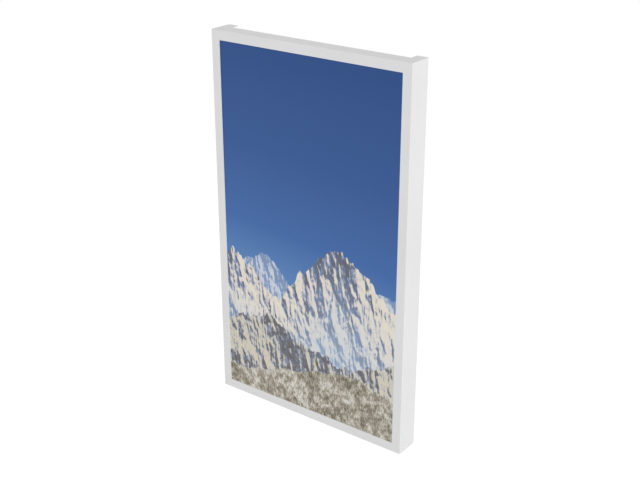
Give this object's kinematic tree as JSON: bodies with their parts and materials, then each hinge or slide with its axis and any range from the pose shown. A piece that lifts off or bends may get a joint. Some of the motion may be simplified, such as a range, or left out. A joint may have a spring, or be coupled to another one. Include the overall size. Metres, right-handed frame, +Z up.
{
  "type": "wall-hung digital photo frame",
  "caption": "Portrait wall-hung digital photo frame: a slim folded white steel casing round a recessed picture panel, lifting off wall rails that also carry the display.",
  "frame": {"origin": "on the wall plane, at the centre of the wall-slot pattern, which is also the middle of the casing", "axes": "+Z up, +Y into the wall, so the picture faces -Y, and +X to the right as seen from the front"},
  "size_m": [0.574, 0.0655, 0.9858],
  "materials": {
    "white_powder_coat": "fine matte powder coat",
    "black_powder_coat": "fine matte powder coat",
    "galvanised_sheet": "dull zinc",
    "zinc_fastener": "bright zinc",
    "foam": "closed-cell foam",
    "rubber": "matte",
    "panel_glass": "anti-glare, lit from behind",
    "black_plastic": "fine moulded grain",
    "white_film": "translucent",
    "circuit_board": "solder mask",
    "aluminium": "extruded",
    "ferrite": "sintered",
    "brass": "turned",
    "flat_cable": "laminated tape",
    "lead": "insulated leads",
    "socket_metal": "plated"
  },
  "bodies": {
    "mount_and_display": {"ac_inlet": "black_plastic", "backlight_tray": "galvanised_sheet", "bezel_screws": "zinc_fastener", "board_screws": "zinc_fastener", "board_standoffs": "brass", "cover_screws": "zinc_fastener", "diffuser_plate": "white_film", "display_bezel": "black_powder_coat", "electronics_cover": "black_plastic", "frame_rivets": "zinc_fastener", "frame_upright_left": "galvanised_sheet", "frame_upright_right": "galvanised_sheet", "inlet_pins": "brass", "io_plate": "socket_metal", "io_ports": "socket_metal", "key_board": "circuit_board", "key_housing": "black_plastic", "lcd_cell": "panel_glass", "led_strips": "aluminium", "main_board": "circuit_board", "mid_frame": "black_plastic", "optical_films": "white_film", "panel_ribbon": "flat_cable", "power_board": "circuit_board", "power_capacitors": "aluminium", "power_harness": "lead", "power_heatsink": "aluminium", "power_transformer": "ferrite", "reflector_sheet": "white_film", "safety_screws": "zinc_fastener", "signal_ribbon": "flat_cable", "soc_heatsink": "aluminium", "source_board": "circuit_board", "speaker_left": "black_plastic", "speaker_right": "black_plastic", "switch_housing": "black_plastic", "tcon_board": "circuit_board", "vesa_arm_left": "black_powder_coat", "vesa_arm_right": "black_powder_coat", "vesa_bosses": "galvanised_sheet", "vesa_screws": "zinc_fastener", "wall_rail_lower": "galvanised_sheet", "wall_rail_upper": "galvanised_sheet"},
    "casing": {"casing_hook_lower_left": "white_powder_coat", "casing_hook_lower_right": "white_powder_coat", "casing_hook_upper_left": "white_powder_coat", "casing_hook_upper_right": "white_powder_coat", "casing_shell": "white_powder_coat", "wall_bumpers": "rubber", "window_gasket": "foam"},
    "power_key": {"power_key": "black_plastic"},
    "mains_rocker": {"mains_rocker": "black_plastic"}
  },
  "joints": [
    {"name": "casing_lift", "type": "slide", "parent": "mount_and_display", "child": "casing", "axis": [0, 0, 1], "range_m": [0, 0.012]},
    {"name": "power_key_press", "type": "slide", "parent": "mount_and_display", "child": "power_key", "axis": [0, 0, 1], "range_m": [0, 0.0008], "stiffness_N_per_m": 1500, "springref_m": -0.0006},
    {"name": "mains_rocker_tilt", "type": "hinge", "parent": "mount_and_display", "child": "mains_rocker", "pos_m": [-0.14484, -0.0327, -0.2566], "axis": [0, 1, 0], "range_deg": [-14, 0]}
  ]
}
